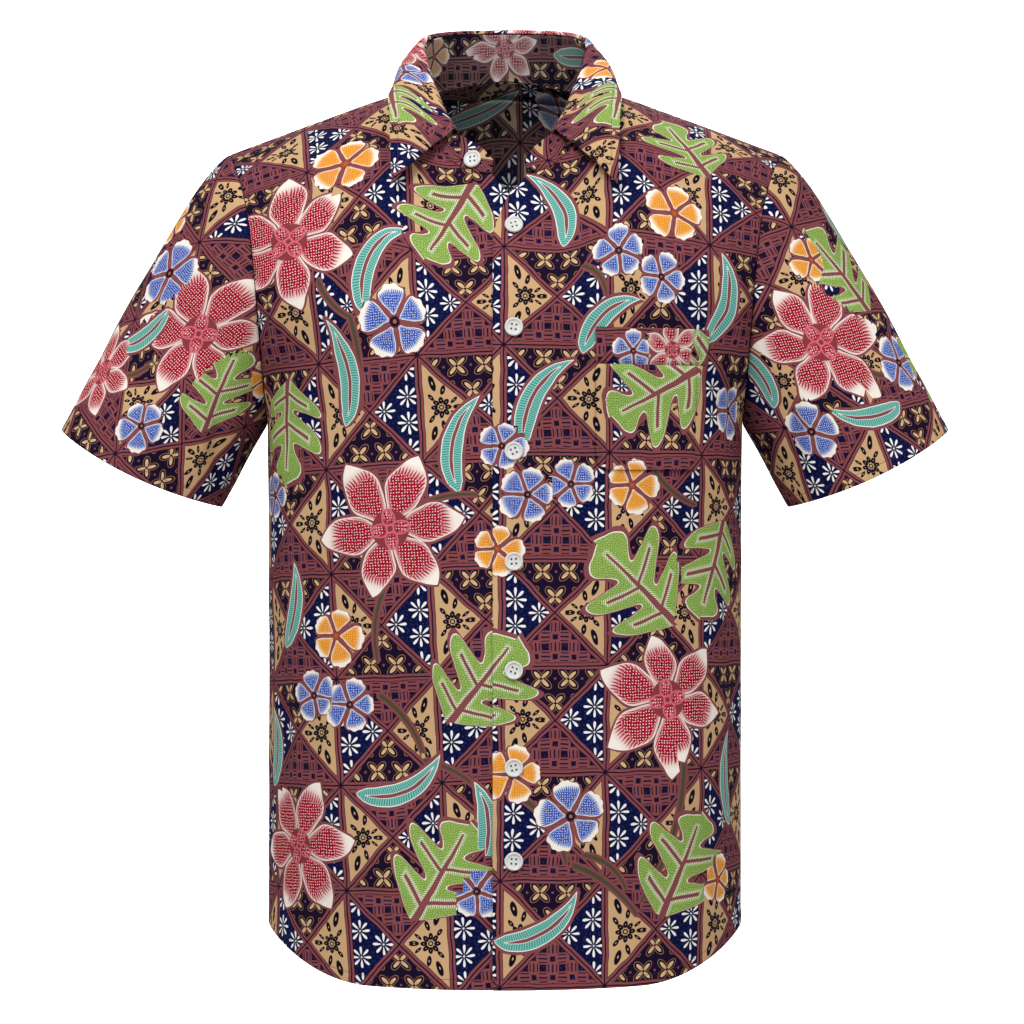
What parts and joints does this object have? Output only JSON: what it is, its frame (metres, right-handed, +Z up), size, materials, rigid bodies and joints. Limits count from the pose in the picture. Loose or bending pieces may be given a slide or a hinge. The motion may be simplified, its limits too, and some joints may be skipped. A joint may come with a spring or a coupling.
{
  "type": "short-sleeved batik shirt",
  "caption": "Short-sleeved button-front shirt in printed batik cotton, filled out hollow with no wearer, with an open pointed collar, a chest pocket and a curved hem",
  "frame": {"origin": "centre of the neck, level with the shoulder line, where the wearer's shoulders hold the shirt up", "axes": "+Z up along the shirt's length; the front faces -Y; the wearer's left side is +X"},
  "size_m": [0.7344, 0.3037, 0.7842],
  "materials": {
    "batik_cloth": "plain-weave cotton printed with batik flowers over a grid of patterned triangles",
    "button": "white four-hole shirt button, softly polished"
  },
  "bodies": {
    "root": {"front_left": "batik_cloth", "front_right": "batik_cloth", "back": "batik_cloth", "back_yoke": "batik_cloth", "sleeve_left": "batik_cloth", "sleeve_right": "batik_cloth", "collar_stand": "batik_cloth", "collar_leaf": "batik_cloth", "pocket": "batik_cloth", "button_1": "button", "button_2": "button", "button_3": "button", "button_4": "button", "button_5": "button", "button_6": "button", "button_7": "button", "button_stand": "button"}
  },
  "joints": []
}
